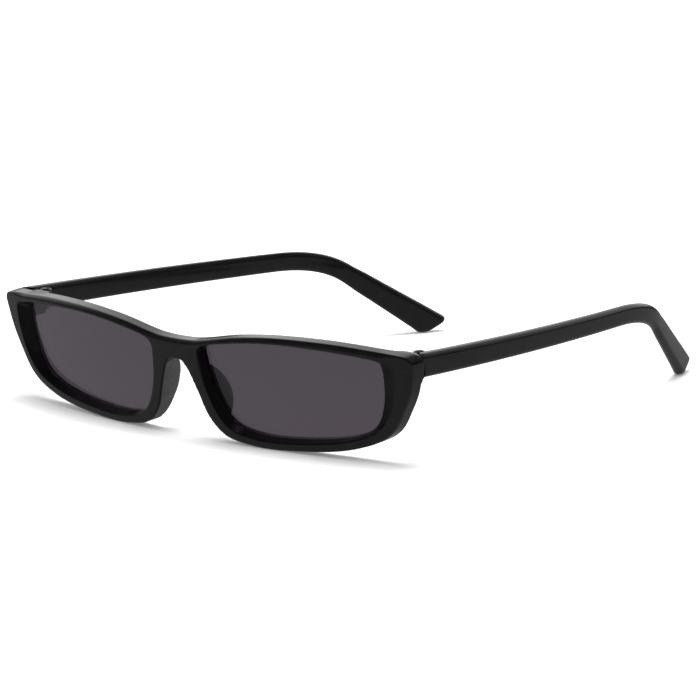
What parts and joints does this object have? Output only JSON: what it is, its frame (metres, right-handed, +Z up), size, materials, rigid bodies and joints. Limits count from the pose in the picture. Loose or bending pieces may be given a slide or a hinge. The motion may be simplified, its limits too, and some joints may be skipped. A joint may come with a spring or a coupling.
{
  "type": "sunglasses",
  "caption": "Narrow square wrap sunglasses with a deep-sided moulded front, tinted lenses, built-up nose pads and folding temples with bent, squared-off tips.",
  "frame": {"origin": "centre of the bounding box in X and Y, on the surface that the open frame rests on", "axes": "+X towards the wearer's left, +Y from the front to the temple tips, +Z up; the lenses face -Y"},
  "size_m": [0.135, 0.152, 0.0293],
  "materials": {
    "frame_plastic": "polished black moulded plastic",
    "lens_tint": "smoke grey tinted lens, transparent",
    "pad_plastic": "satin black plastic",
    "hinge_metal": "nickel plated steel"
  },
  "bodies": {
    "front": {"front_frame": "frame_plastic", "lens_left": "lens_tint", "lens_right": "lens_tint", "nose_pad_left": "pad_plastic", "nose_pad_right": "pad_plastic", "front_hinge_left": "hinge_metal", "front_hinge_right": "hinge_metal", "front_hinge_pins_left": "hinge_metal", "front_hinge_pins_right": "hinge_metal", "hinge_screw_left": "hinge_metal", "hinge_screw_right": "hinge_metal"},
    "left_temple": {"temple_left": "frame_plastic", "temple_hinge_left": "hinge_metal", "temple_core_left": "hinge_metal"},
    "right_temple": {"temple_right": "frame_plastic", "temple_hinge_right": "hinge_metal", "temple_core_right": "hinge_metal"}
  },
  "joints": [
    {"name": "left_temple_fold", "type": "hinge", "parent": "front", "child": "left_temple", "pos_m": [0.06238, -0.0561, 0.0247], "axis": [0, 0, 1], "range_deg": [0, 82]},
    {"name": "right_temple_fold", "type": "hinge", "parent": "front", "child": "right_temple", "pos_m": [-0.06238, -0.0561, 0.0247], "axis": [0, 0, -1], "range_deg": [0, 72]}
  ]
}
